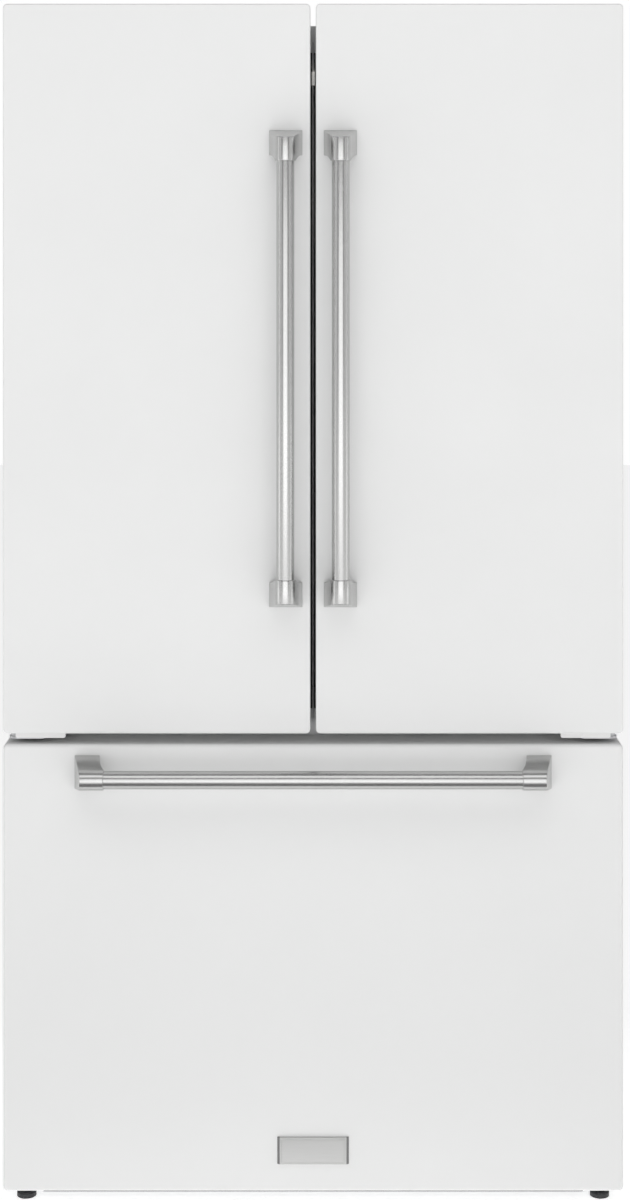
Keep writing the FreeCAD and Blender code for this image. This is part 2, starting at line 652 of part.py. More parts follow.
def fridge_inside():
    y0 = y_case + shelf_front
    y1 = y_cavity - track_depth - 10
    z_rack = z_fridge + pantry_height + 4
    z_cover = z_rack + rack + crisper_height + 4
    edge = x_cavity - slip

    shelves = []
    panes = []
    arms = []
    track_z0 = z_cover + 24
    track_z1 = z_fridge_top - 40
    levels = [track_z0 + (level + 0.7) * (track_z1 - track_z0) / (shelf_levels + 0.7)
              for level in range(shelf_levels)]
    inner = 4.0
    for z in levels:
        rim = ring_z(inner, edge, y0, y1, z, z + shelf_bar, shelf_bar)
        pane_box = (inner + shelf_bar - 6, edge - shelf_bar + 6, y0 + shelf_bar - 6, y1 - shelf_bar + 6)
        pane = span(*pane_box, z + shelf_bar - glass - 2, z + shelf_bar - 2)
        rim = rim.cut(pane)
        shelves += [rim, mirrored(rim)]
        panes += [pane, mirrored(pane)]
        for x in (inner + 6, edge - 9):
            side = Part.makePolygon([V(x, y1 + 10, z), V(x, y0 + 60, z), V(x, y0 + 60, z - 8),
                                     V(x, y1 + 10, z - 40), V(x, y1 + 10, z)])
            arm = Part.Face(side).extrude(V(3, 0, 0))
            arms += [arm, mirrored(arm)]

    cover = ring_z(-edge, edge, y0, y_cavity - slip, z_cover, z_cover + shelf_bar, shelf_bar)
    pane = span(-edge + 8, edge - 8, y0 + 8, y_cavity - 8.3, z_cover + shelf_bar - glass - 2,
                z_cover + shelf_bar - 2)
    cover = cover.cut(pane)
    panes.append(pane)
    rack_sheet = span(-edge, edge, y0, y_cavity - slip, z_rack, z_rack + rack)
    divider = span(-4, 4, y0 + 4, y_cavity - slip, z_rack + rack, z_cover)
    side_post = span(-edge, -edge + 4, y0 + 4, y_cavity - slip, z_rack + rack, z_cover)
    leg = span(-edge, -edge + 4, y0 + 4, y_cavity - slip, z_fridge, z_rack)
    parts["shelf_frames"] = group(*shelves, cover, rack_sheet, divider, both(side_post), both(leg))
    parts["shelf_glass"] = group(*panes)
    parts["shelf_arms"] = group(*arms)

    crisper = open_tray(5, edge - 5, y0 + 6, y_cavity - 16, z_rack + rack + slip, z_cover - 3, tray_wall)
    parts["crispers"] = both(crisper)
    parts["pantry_drawer"] = open_tray(-edge + 5, edge - 5, y0 + 6, y_cavity - 16, z_fridge + slip,
                                       z_rack - 3, tray_wall)
    for side, name in ((1, "right"), (-1, "left")):
        x = side * x_cavity / 2
        tab = span(x - 12, x + 12, y0 - slip - 4, y0 - slip, z_cover + 2, z_cover + 12)
        parts[name + "_humidity_slide"] = tab.makeFillet(1.0, edges_along(tab, (0, 1, 0)))

    tracks = []
    for x in (inner + 7, edge - 8):
        track = span(x - track_width / 2, x + track_width / 2, y_cavity - track_depth, y_cavity,
                     track_z0, track_z1)
        slots = []
        for index in range(int((track_z1 - track_z0) / track_step)):
            z = track_z0 + 12 + index * track_step
            slots.append(span(x - 2.5, x + 2.5, y_cavity - track_depth - 1, y_cavity - 2, z, z + 14))
        track = track.cut(Part.makeCompound(slots))
        tracks += [track, mirrored(track)]
    parts["shelf_tracks"] = group(*tracks)

    duct_x = inner + 26
    duct = span(duct_x, duct_x + duct_width, y_cavity - duct_sheet, y_cavity, track_z0, track_z1)
    vents = []
    for z in levels:
        vents.append(span(duct_x + duct_width / 4, duct_x + 0.75 * duct_width, y_cavity - duct_sheet - 1,
                          y_cavity + 1, z + 60, z + 60 + vent_drop))
    parts["air_duct"] = both(duct.cut(Part.makeCompound(vents)))
    light = span(-light_width / 2, light_width / 2, y_case + 180, y_case + 180 + light_depth,
                 z_fridge_top - 12, z_fridge_top)
    parts["ceiling_light"] = light.makeFillet(5, edges_along(light, (0, 0, 1)))


# ---- machine compartment ----

def machine():
    floor = z_case + sheet
    y_mid = (y_machine + y_back) / 2
    x = -0.55 * x_foam
    mount = floor + grommet_height
    shell = rod(x, y_mid, mount + 3, compressor_radius, compressor_height)
    shell = shell.makeFillet(24, [edge for edge in shell.Edges if edge.Curve.TypeId == "Part::GeomCircle"])
    plate = span(x - 85, x + 85, y_mid - 74, y_mid + 74, mount, mount + 3)
    box = span(x + 55, x + 85, y_mid - 25, y_mid + 25, mount + 60, mount + 120)
    parts["compressor"] = fuse(shell, plate, box)
    feet = []
    for side in (-1, 1):
        for end in (-1, 1):
            feet.append(rod(x + side * 72, y_mid + end * 61, floor, 9, grommet_height))
    parts["compressor_grommets"] = group(*feet)

    side = fan_radius + 14
    fan_z = floor + side + 6
    shroud = span(shroud_x, shroud_x + shroud_sheet, y_mid - side, y_mid + side, floor, fan_z + side)
    shroud = shroud.cut(rod(shroud_x - 1, y_mid, fan_z, fan_radius + 4, 8, (1, 0, 0)))
    motor = rod(shroud_x - 40, y_mid, fan_z, motor_radius, 26, (1, 0, 0))
    arm = span(shroud_x - 30, shroud_x - 20, y_mid - side, y_mid + side, fan_z - 6, fan_z + 6)
    for end in (-1, 1):
        y = y_mid + end * (side - 4)
        arm = fuse(arm, span(shroud_x - 30, shroud_x + 6, y - 4, y + 4, fan_z - 6, fan_z + 6))
    shaft = rod(shroud_x - 14, y_mid, fan_z, axle_radius, 22, (1, 0, 0))
    parts["fan_shroud"] = fuse(shroud, motor, arm, shaft)
    fan = rod(shroud_x - 12, y_mid, fan_z, 16, 20, (1, 0, 0))
    for index in range(blade_count):
        blade = span(-12, 12, -1, 1, 12, fan_radius)
        blade.rotate(V(0, 0, 0), V(0, 0, 1), blade_twist)
        blade.rotate(V(0, 0, 0), V(1, 0, 0), 360 * index / blade_count)
        fan = fuse(fan, placed(blade, shroud_x - 2, y_mid, fan_z))
    parts["condenser_fan"] = fan.cut(rod(shroud_x - 14, y_mid, fan_z, axle_radius + slip, 30, (1, 0, 0)))

    x0 = shroud_x + 60
    x1 = x0 + condenser_length
    y0, y1 = y_machine + 26, y_back - 26
    pan = open_tray(x0 - 12, x1 + 12, y0 - 12, y1 + 12, floor, floor + 22, 2.0)
    parts["drain_pan"] = pan
    z0 = floor + 26
    coil = []
    for index in range(condenser_fins):
        y = y0 + index * (y1 - y0) / (condenser_fins - 1)
        coil.append(span(x0, x1, y - fin / 2, y + fin / 2, z0, z0 + condenser_height))
    for column in coil_columns:
        for level in coil_levels:
            coil.append(rod(x0 + column * condenser_length, y0 - 8, z0 + level * condenser_height,
                            coil_radius, y1 - y0 + 16, (0, 1, 0)))
    for end in (x0 - 1, x1 - 1):
        coil.append(span(end, end + 2, y0, y1, floor + 2, z0 + condenser_height))
    parts["condenser"] = fuse(*coil)


cabinet()
base()
doors()
mullion()
hinges()
drawer()
freezer_inside()
fridge_inside()
machine()

os.makedirs("parts", exist_ok=True)
for node, shape in parts.items():
    shape.exportStep(f"parts/{node}.step")
print(len(parts), "nodes,", sum(len(shape.Solids) for shape in parts.values()), "solids")
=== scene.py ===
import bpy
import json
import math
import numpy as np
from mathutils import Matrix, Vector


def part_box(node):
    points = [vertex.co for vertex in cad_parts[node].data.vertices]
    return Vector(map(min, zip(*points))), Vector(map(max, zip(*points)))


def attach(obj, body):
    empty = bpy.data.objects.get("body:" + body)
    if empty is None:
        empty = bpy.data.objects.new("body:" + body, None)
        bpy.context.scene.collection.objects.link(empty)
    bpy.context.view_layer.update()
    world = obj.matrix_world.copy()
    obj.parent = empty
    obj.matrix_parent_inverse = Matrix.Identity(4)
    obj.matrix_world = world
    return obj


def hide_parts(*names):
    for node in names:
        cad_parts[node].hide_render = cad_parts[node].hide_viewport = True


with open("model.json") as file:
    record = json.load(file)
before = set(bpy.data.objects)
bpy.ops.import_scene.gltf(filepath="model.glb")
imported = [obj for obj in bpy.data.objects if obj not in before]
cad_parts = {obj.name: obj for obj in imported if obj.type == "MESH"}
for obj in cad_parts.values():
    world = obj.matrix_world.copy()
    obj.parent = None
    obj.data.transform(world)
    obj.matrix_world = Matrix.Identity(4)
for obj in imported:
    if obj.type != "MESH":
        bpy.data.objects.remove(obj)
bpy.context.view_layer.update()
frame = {"nodes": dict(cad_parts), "record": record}

# %% [markdown]
# # A french door refrigerator
# The refrigerator is a steel cabinet with two hinged doors over one freezer drawer. Its panels, hinges and
# shelves come from the CAD frame, already in place. This lesson gives each of them its finish, and rebuilds
# in finer detail the pieces that the hand touches or the light catches: the bar handles, the blank plate,
# the door gaskets, and the rims and grips inside.

nodes = frame["nodes"]
MM = 0.001

# %% [markdown]
# ## The camera
# The refrigerator is seen from straight in front, with the eye at about a person's height. Verticals stay
# parallel, as in a catalogue picture, so the camera looks level and a lens shift moves the frame down to the
# object. A turned camera would make the sides lean, and that is why the shift is used here.

# %% Camera
EYE_DISTANCE = 3.0        # from the door fronts
EYE_HEIGHT = 1.372        # above the floor
VIEW_HEIGHT = 1.7552      # height of the frame, measured on the door fronts
VIEW_MIDDLE = 0.9056      # height of the frame's middle above the floor
VIEW_ASIDE = 0.0028       # the eye stands this far right of the middle
SENSOR = 36               # millimetres, along the frame's longer side

door_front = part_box("left_door_skin")[0][1]
camera_data = bpy.data.cameras.new("camera")
camera_data.lens = SENSOR * EYE_DISTANCE / VIEW_HEIGHT
camera_data.shift_y = (VIEW_MIDDLE - EYE_HEIGHT) / VIEW_HEIGHT
camera = bpy.data.objects.new("camera", camera_data)
camera.location = (VIEW_ASIDE, door_front - EYE_DISTANCE, EYE_HEIGHT)
camera.rotation_euler = (math.pi / 2, 0, 0)
bpy.context.collection.objects.link(camera)
bpy.context.scene.camera = camera
print("lens", round(camera_data.lens, 2), "mm, shift", round(camera_data.shift_y, 4))

# %% [markdown]
# ## Shader sums in plain Python
# A finish is a small sum of patterns: so much hairline, so much broad band. Wrapping a socket in a class that
# knows + and * lets that sum be written as it is said, with plain numbers on either side, and each sign adds
# one Math node. Wiring the same sum by hand would take three lines for each sign.

# %% Sockets that can be added and multiplied
class Wire:
    """One output socket, usable in sums."""

    def __init__(self, tree, socket):
        self.tree, self.socket = tree, socket

    def sum(self, operation, first, second):
        math_node = self.tree.nodes.new("ShaderNodeMath")
        math_node.operation = operation
        plug(self.tree, math_node.inputs[0], first)
        plug(self.tree, math_node.inputs[1], second)
        return Wire(self.tree, math_node.outputs[0])

    def __add__(self, other):
        return self.sum("ADD", self, other)

    def __radd__(self, other):
        return self.sum("ADD", other, self)

    def __mul__(self, other):
        return self.sum("MULTIPLY", self, other)

    def __rmul__(self, other):
        return self.sum("MULTIPLY", other, self)


def plug(tree, socket, value):
    """Links a wire to a socket, or sets the socket's own value."""
    if isinstance(value, Wire):
        tree.links.new(value.socket, socket)
    else:
        socket.default_value = value


# %% [markdown]
# ## One class for every finish
# A finish is one Principled shader with patterns on a few of its sockets. Everything that isn't arithmetic
# comes from one method, `Finish.node`, which takes a node's type, its settings and its sockets. Patterns read
# Object coordinates, so they stay on a piece when its body moves.

# %% A finish being made
class Finish:
    """A material being made: its node tree, its shader and one method for every other node."""

    def __init__(self, name, color, roughness, metallic=0.0, **constants):
        self.material = bpy.data.materials.new(name)
        self.material.use_nodes = True
        self.tree = self.material.node_tree
        self.shader = self.tree.nodes["Principled BSDF"]
        self.set(**{"Base Color": (*color, 1.0), "Roughness": roughness, "Metallic": metallic})
        self.set(**constants)
        coordinates = self.tree.nodes.new("ShaderNodeTexCoord")
        self.place = Wire(self.tree, coordinates.outputs["Object"])

    def set(self, **values):
        for name, value in values.items():
            plug(self.tree, self.shader.inputs[name.replace("_", " ")], value)
        return self

    def node(self, kind, output=0, settings=None, **sockets):
        """A node of any type: its settings first, then its sockets' values or links."""
        made = self.tree.nodes.new("ShaderNode" + kind)
        for name, value in (settings or {}).items():
            setattr(made, name, value)
        for name, value in sockets.items():
            plug(self.tree, made.inputs[name.replace("_", " ")], value)
        return Wire(self.tree, made.outputs[output])

    def stretched(self, scale):
        """Object coordinates in metres, multiplied along each axis."""
        return self.node("Mapping", Vector=self.place, Scale=scale)

    def noise(self, scale, detail=2.0, stretch=(1, 1, 1), roughness=0.5):
        """Cloudy noise from 0 to 1, with about `scale` blotches in a metre."""
        return self.node("TexNoise", 0, Vector=self.stretched(stretch), Scale=scale, Detail=detail,
                         Roughness=roughness)

    def blend(self, factor, first, second):
        """Colour between two colours."""
        mixed = self.tree.nodes.new("ShaderNodeMix")
        mixed.data_type = "RGBA"
        plug(self.tree, mixed.inputs[0], factor)
        for socket, color in ((mixed.inputs[6], first), (mixed.inputs[7], second)):
            plug(self.tree, socket, color if isinstance(color, Wire) else (*color, 1.0))
        return Wire(self.tree, mixed.outputs[2])

    def ramp(self, value, low, high):
        """Straight ramp: 0 at low, 1 at high."""
        return self.node("MapRange", 0, Value=value, **{"From_Min": low, "From_Max": high})

    def bump(self, height, distance, strength=1.0):
        return self.set(Normal=self.node("Bump", 0, Height=height, Distance=distance, Strength=strength))


# %% [markdown]
# ## White enamel
# The doors and the cabinet are steel, powder coated in white. From close up the coat isn't flat: it has a
# faint orange peel, a few millimetres across, and its gloss changes a little where it was wiped. Two noises
# give that, one for the bump and one for roughness and colour, with a thin clear coat over them.

# %% Painted steel
PEEL_SCALE = 330.0        # one blotch every 3 mm
PEEL_DEPTH = 0.04 * MM
WIPED_SCALE = 5.0         # one blotch every 20 cm
finishes = {}


def shaded(color, share):
    """A colour with each part multiplied by a share, and none above 1."""
    return tuple(min(1.0, share * part) for part in color)


def painted(name, color, roughness, peel=PEEL_DEPTH):
    """Powder coat: orange peel of about 3 mm, cloudy gloss, and a faint cloud in its colour."""
    paint = Finish(name, color, roughness, Coat_Weight=0.1, Coat_Roughness=0.25)
    soft = paint.ramp(paint.noise(WIPED_SCALE, 3.0), 0.3, 0.7)
    paint.set(Base_Color=paint.blend(soft * 0.5, color, shaded(color, 0.972)))
    paint.set(Roughness=roughness - 0.04 + soft * 0.08)
    paint.bump(paint.noise(PEEL_SCALE, 1.5), peel)
    finishes[name] = paint.material


painted("white_paint", (0.80, 0.803, 0.80), 0.42)
painted("grey_paint", (0.80, 0.805, 0.81), 0.45)
painted("black_enamel", (0.012, 0.012, 0.013), 0.38, 2 * PEEL_DEPTH)
print("painted finishes:", sorted(finishes))

# %% [markdown]
# ## Brushed stainless steel
# Brushing leaves fine lines in one direction. A noise squeezed hard across the lines and hardly along them
# looks like that, and it changes three things together: colour, roughness and bump. The drawer's bar lies
# across, so each direction gets its own finish.

# %% Brushed and plated metals
STEEL = (0.52, 0.52, 0.516)
HAIRLINE_SCALE = 900.0    # about one line in a millimetre
BAND_SCALE = 120.0
WORN_SCALE = 14.0
HAIRLINE_DEPTH = 0.002 * MM


def brushed(name, color, roughness, stretch):
    """Lines along one axis: noise stretched along it, finer hairlines over broader bands."""
    metal = Finish(name, color, roughness, 1.0)
    lines = metal.noise(HAIRLINE_SCALE, 3.0, stretch, 0.6)
    bands = metal.noise(BAND_SCALE, 2.0, stretch)
    worn = metal.noise(WORN_SCALE, 3.0)
    metal.set(Base_Color=metal.blend(lines * 0.6 + bands * 0.4, shaded(color, 0.94), shaded(color, 1.06)))
    metal.set(Roughness=roughness - 0.05 + lines * 0.06 + worn * 0.04)
    metal.bump(lines, HAIRLINE_DEPTH, 0.5)
    finishes[name] = metal.material


brushed("stainless_upright", STEEL, 0.26, (1.0, 1.0, 0.003))
brushed("stainless", STEEL, 0.26, (0.003, 1.0, 1.0))
brushed("hinge_steel", (0.47, 0.47, 0.48), 0.36, (0.05, 1.0, 1.0))


SPANGLE_SCALE = 90.0      # cells of about 11 mm
SHEET_WAVE_SCALE = 60.0
SHEET_WAVE_DEPTH = 0.1 * MM


def spangled(name, color, roughness):
    """Galvanised sheet: Voronoi cells of a centimetre, each with its own grey and gloss."""
    zinc = Finish(name, color, roughness, 1.0)
    cell = zinc.node("TexVoronoi", 1, Vector=zinc.place, Scale=SPANGLE_SCALE)
    tone = zinc.node("RGBToBW", 0, Color=cell)
    zinc.set(Base_Color=zinc.blend(tone, color, shaded(color, 1.2)))
    zinc.set(Roughness=roughness - 0.08 + tone * 0.16)
    zinc.bump(zinc.noise(SHEET_WAVE_SCALE, 2.0), SHEET_WAVE_DEPTH, 0.5)
    finishes[name] = zinc.material


spangled("galvanised", (0.50, 0.51, 0.52), 0.42)
spangled("fin_aluminium", (0.66, 0.67, 0.68), 0.34)
print("metals:", [name for name in finishes if "paint" not in name])

# %% [markdown]
# ## Plastics, rubber and glass
# Inside, nearly everything is moulded. Liners have a fine leather-like grain, the bins are clear, the
# gasket is dull black rubber, and the shelves are faintly green glass. Grain is a noise in the bump. A clear
# piece lets light through with a constant transmission, and the lamp's cover glows with a constant strength.

# %% Moulded plastics
CLOUD_SCALE = 9.0         # one blotch every 11 cm


def moulded(name, color, roughness, grain_scale, grain_depth, **constants):
    """Moulded plastic: a fine grain in the bump, with grain_scale bumps in a metre, and blotches in gloss and
    colour. Any constant, such as a transmission, is set on its socket."""
    plastic = Finish(name, color, roughness, 0.0, **constants)
    grain = plastic.noise(grain_scale, 2.0)
    cloud = plastic.noise(CLOUD_SCALE, 3.0)
    plastic.set(Base_Color=plastic.blend(cloud * 0.6 + grain * 0.2, color, shaded(color, 0.93)))
    plastic.set(Roughness=roughness - 0.05 + cloud * 0.1)
    plastic.bump(grain, grain_depth, 0.7)
    finishes[name] = plastic.material


moulded("white_liner", (0.80, 0.805, 0.80), 0.33, 700.0, 0.06 * MM)
moulded("white_trim", (0.80, 0.80, 0.795), 0.28, 500.0, 0.03 * MM)
moulded("gasket_rubber", (0.012, 0.012, 0.013), 0.62, 1500.0, 0.04 * MM)
moulded("grommet_rubber", (0.02, 0.02, 0.02), 0.7, 1500.0, 0.05 * MM)
moulded("dark_plastic", (0.025, 0.025, 0.028), 0.48, 900.0, 0.08 * MM)
moulded("mullion_face", (0.045, 0.045, 0.047), 0.40, 800.0, 0.05 * MM)
# the centre strip's pale grey is a painted highlight down the middle of the gap between the doors
moulded("strip_painted_highlight", (0.60, 0.60, 0.61), 0.45, 800.0, 0.03 * MM)
moulded("foam", (0.72, 0.62, 0.36), 0.85, 240.0, 0.6 * MM)
moulded("light_lens", (0.86, 0.86, 0.83), 0.45, 260.0, 0.2 * MM, Emission_Color=(1, 0.98, 0.94, 1),
        Emission_Strength=1.5)
moulded("clear_plastic", (0.94, 0.965, 0.975), 0.12, 60.0, 0.05 * MM, Transmission_Weight=0.88, IOR=1.45)
moulded("shelf_glass", (0.86, 0.96, 0.93), 0.05, 30.0, 0.02 * MM, Transmission_Weight=0.95, IOR=1.5)
print(len(finishes), "finishes")

# %% [markdown]
# ## Finishes on the CAD nodes
# Each CAD node already has a slot name from the record. The node's mesh is left as it is, and its material
# slots are given the finish of that name. The two upright handles are the exception: their hairlines run up
# and down, so they take the upright steel.

# %% Put the finishes on
slot_of = {part["node"]: part["material_slot"] for part in frame["record"]["subparts"]}
UPRIGHT = ("left_door_handle", "right_door_handle")
for node, piece in nodes.items():
    finish = "stainless_upright" if node in UPRIGHT else slot_of[node]
    if not piece.material_slots:
        piece.data.materials.append(None)
    for material_slot in piece.material_slots:
        material_slot.material = finishes[finish]
print(len(nodes), "nodes have a finish")

# %% [markdown]
# ## Surfaces from arrays
# A new piece is one or more grids of points: one direction runs round a section, the other along a path.
# The helper joins each point to its neighbours, closes the ends with one face each (or joins the last
# section to the first, for a ring), and turns a grid round if its faces look inwards. Edges sharper than a
# set angle are marked, so that flat and rounded parts of one piece are both shaded as they should be.
# Modelling by hand would give the same mesh, but a grid keeps the formula in sight.

# %% Grid helpers
SHARP_ANGLE = math.radians(35)


def outward_faces(points, ring):
    """Quads between neighbours; their sign comes from the sum of a . (b x c) seen from the middle."""
    rows, columns = points.shape[:2]
    index = np.arange(rows * columns).reshape(rows, columns)
    turned = np.roll(index, -1, axis=1)
    quads = np.stack([index, turned, np.roll(turned, -1, axis=0), np.roll(index, -1, axis=0)], axis=-1)
    quads = (quads if ring else quads[:-1]).reshape(-1, 4)
    flat = points.reshape(-1, 3) - points.mean(axis=(0, 1))
    a, b, c, d = (flat[quads[:, corner]] for corner in range(4))
    inside_out = np.einsum("ij,ij->", a, np.cross(b, c) + np.cross(c, d)) < 0
    faces = quads.tolist() + ([] if ring else [index[0][::-1].tolist(), index[-1].tolist()])
    return [face[::-1] for face in faces] if inside_out else faces


def grid_piece(name, grids, finish, body, ring=False):
    """One mesh from a list of grids points[row, column], riding on a body."""
    vertices, faces = [], []
    for points in grids:
        start = len(vertices)
        faces += [[start + corner for corner in face] for face in outward_faces(points, ring)]
        vertices += points.reshape(-1, 3).tolist()
    mesh = bpy.data.meshes.new(name)
    mesh.from_pydata(vertices, [], faces)
    mesh.polygons.foreach_set("use_smooth", np.ones(len(mesh.polygons), bool))
    mesh.set_sharp_from_angle(angle=SHARP_ANGLE)
    mesh.materials.append(finishes[finish])
    mesh.update()
    made = bpy.data.objects.new(name, mesh)
    bpy.context.collection.objects.link(made)
    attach(made, body)
    return made


# %% [markdown]
# ## Sections carried round and across
# Rims, bands and gaskets are one small section carried round a rounded rectangle. Grips and trims are one
# profile carried straight across, and its ends draw in a little so that no edge is razor sharp. A curve with
# a bevel could do both, but it would then have to be turned into a mesh.

# %% Rings and straight runs
def swept_ring(low, high, corner, level, section, upright=False, arc_points=7):
    """A section carried round a rounded rectangle: corner centre + (radius + out) x direction, level + up."""
    turn = np.linspace(0, np.pi / 2, arc_points)
    angle = np.concatenate([turn + quarter * np.pi / 2 for quarter in range(4)])
    way = np.stack([np.cos(angle), np.sin(angle)], axis=1)
    sides = np.repeat([[1, 1], [-1, 1], [-1, -1], [1, -1]], arc_points, axis=0)
    low, high = np.array(low), np.array(high)
    centres = (low + high) / 2 + sides * ((high - low) / 2 - corner)
    section = np.array(section)
    flat = centres[:, None] + (corner + section[None, :, :1]) * way[:, None]
    height = np.broadcast_to(level + section[None, :, 1:], flat[..., :1].shape)
    parts = (flat[..., :1], height, flat[..., 1:]) if upright else (flat, height)
    return np.concatenate(parts, axis=-1)


def carried_across(x0, x1, profile, rounding):
    """A (y, z) profile carried from x0 to x1, drawn towards its middle by `rounding` at both ends."""
    profile = np.array(profile)
    middle = profile.mean(axis=0)
    reach = np.linalg.norm(profile - middle, axis=1, keepdims=True)
    small = profile - (profile - middle) / reach * rounding
    stations = ((x0, small), (x0 + rounding, profile), (x1 - rounding, profile), (x1, small))
    return np.array([np.column_stack([np.full(len(shape), x), shape]) for x, shape in stations])


def mm(*pairs):
    """Pairs in millimetres to an array in metres."""
    return np.array(pairs) * MM


# %% [markdown]
# ## The bar handles
# Each handle is a thick round bar held by two brackets. A bracket tapers from a broad foot on the door to a
# collar round the bar. Its outline is a string stretched round five circles: four small ones at the foot's
# corners and a large one at the collar. The furthest circle in each direction gives the string's place, with
# the corners already rounded. The outer end leans inwards in a straight line and the inner one in a curve
# that starts square to the door. Both ends shrink in a quarter circle, so that their edges catch the light.

# %% Bracket
COLLAR_RADIUS = 14.6 * MM
FOOT_THICKNESS = 4.0 * MM
FOOT_LENGTH = 37.0 * MM
CORNER = 1.3 * MM
EDGE_ROUND = 0.8 * MM
COLLAR_SHIFT = 11.0 * MM    # the collar lies this far towards the middle of the bar from the foot
POINT_SPACING = 2.5 * MM


def stretched_outline(centres, radii, count=120):
    """Outline round circles: in each direction, centre + radius x direction of the furthest circle.
    Its long straight runs then get points at even steps, so that they can follow a curve."""
    angle = np.linspace(0, 2 * np.pi, count, endpoint=False)
    way = np.stack([np.cos(angle), np.sin(angle)], axis=1)
    best = np.argmax(way @ centres.T + radii, axis=1)
    table = np.hstack([centres[best] + radii[best, None] * way, way])
    table = np.vstack([table, table[:1]])
    travel = np.insert(np.cumsum(np.linalg.norm(np.diff(table[:, :2], axis=0), axis=1)), 0, 0.0)
    marks = np.union1d(travel[:-1], np.arange(0, travel[-1], POINT_SPACING))
    table = np.stack([np.interp(marks, travel, column) for column in table.T], axis=1)
    return table[:, :2], table[:, 2:]


def rounded_ends(rows):
    """Sections at a piece's two ends: how far each is drawn in, round x (1 - sin), and how far it lies from
    the end, round x (1 - cos), as the angle goes through a quarter circle."""
    turn = np.linspace(0, np.pi / 2, rows)
    inset, back = EDGE_ROUND * (1 - np.sin(turn)), EDGE_ROUND * (1 - np.cos(turn))
    return np.concatenate([inset, inset[::-1]]), np.concatenate([back, -back[::-1]])


def bracket_points(half_width, standoff, sign, half_length):
    """Sections of a bracket along the bar: the outline moved in, and its ends drawn back, by a quarter
    circle. With s the depth over the bar's distance, the outer end moves in by shift x s, the inner by
    shift x s squared."""
    x, rear, front = half_width - CORNER, -CORNER, -FOOT_THICKNESS + CORNER
    centres = np.array([[x, rear], [-x, rear], [x, front], [-x, front], [0.0, -standoff]])
    outline, way = stretched_outline(centres, np.array([CORNER] * 4 + [COLLAR_RADIUS]))
    inset, along = rounded_ends(6)
    flat = outline[None] - inset[:, None, None] * way[None]
    depth = np.clip(-flat[..., 1] / standoff, 0, None)
    outer = np.repeat([False, True], len(along) // 2)[:, None]
    height = np.where(outer, half_length - COLLAR_SHIFT * depth,
                      half_length - FOOT_LENGTH - COLLAR_SHIFT * np.minimum(depth, 1) ** 2)
    return np.concatenate([flat, sign * (height + along[:, None])[..., None]], axis=-1)


# %% [markdown]
# ## The bar, and a whole handle
# The bar is a circle carried from end to end. Its radius is a little smaller than the collars', so that a
# thin step shows where it enters them. The three handles are the same, and the drawer's is turned to lie
# across, by exchanging x and z in its points.

# %% Bar and handle
BAR_RADIUS = 12.85 * MM
BAR_SET_IN = 18.0 * MM    # from the bracket's outer edge to the bar's end


def bar_points(standoff, half_length, count=96):
    """A round bar: radius x (cos, sin) carried from end to end, drawn in by a quarter circle at each end."""
    angle = np.linspace(0, 2 * np.pi, count, endpoint=False)
    inset, along = rounded_ends(5)
    radius = BAR_RADIUS - inset
    height = np.repeat([-half_length, half_length], len(along) // 2) + along
    x = radius[:, None] * np.cos(angle)
    y = radius[:, None] * np.sin(angle) - standoff
    return np.stack([x, y, np.broadcast_to(height[:, None], x.shape)], axis=-1)


def bar_handle(node, body, finish, lying=False):
    """Bar and brackets in the place of a CAD handle, upright or lying."""
    low, high = (np.array(corner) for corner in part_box(node))
    middle = (low + high) / 2
    reach = door_front - low[1]
    standoff = reach - COLLAR_RADIUS
    across, along = (2, 0) if lying else (0, 2)
    half_width = (high[across] - low[across]) / 2
    half_length = (high[along] - low[along]) / 2
    shapes = {"bar": bar_points(standoff, half_length - BAR_SET_IN)}
    for sign, end in ((1, "first"), (-1, "second")):
        shapes[end + "_bracket"] = bracket_points(half_width, standoff, sign, half_length)
    place = np.array([middle[0], door_front, middle[2]])
    for name, points in shapes.items():
        if lying:
            points = np.stack([points[..., 2], points[..., 1], -points[..., 0]], axis=-1)
        made = grid_piece(f"{node}_{name}", [points + place], finish, body)
        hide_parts(node)
    print(node, "reach", round(reach / MM, 1), "mm, length", round(2 * half_length / MM, 1), "mm")


bar_handle("left_door_handle", "left_door", "stainless_upright")
bar_handle("right_door_handle", "right_door", "stainless_upright")
bar_handle("drawer_handle", "freezer_drawer", "stainless", lying=True)

# %% [markdown]
# ## The blank plate
# A small brushed plate sits low on the drawer, with its two ends bevelled down to the door. The mark that
# such a plate carries is left off. A shallow groove frames the field, and the bevels get painted shade, a
# darker grey, and a higher roughness: a mask on the distance from the middle tells the shader which is which.

# %% Plate
PLATE_BEVEL = 3.6 * MM
PLATE_RISE = 0.5 * MM       # the plate's sides stand this high before they lean in
PLATE_EDGE = 0.3 * MM
PLATE_SIDE_LEAN = 0.4 * MM
GROOVE_IN = 2.2 * MM
GROOVE_WALL = 0.3 * MM
GROOVE_FLOOR = 0.6 * MM
GROOVE_DEEP = 0.35 * MM
MASK_BLUR = 0.2 * MM
PLATE_LINE_DEPTH = 0.01 * MM
FIELD_DULL = (0.52, 0.52, 0.515)
FIELD_BRIGHT = (0.59, 0.59, 0.585)
# painted shade: the dark grey that the steep bevels show, put into their colour
BEVEL_PAINTED_SHADE = (0.22, 0.22, 0.22)

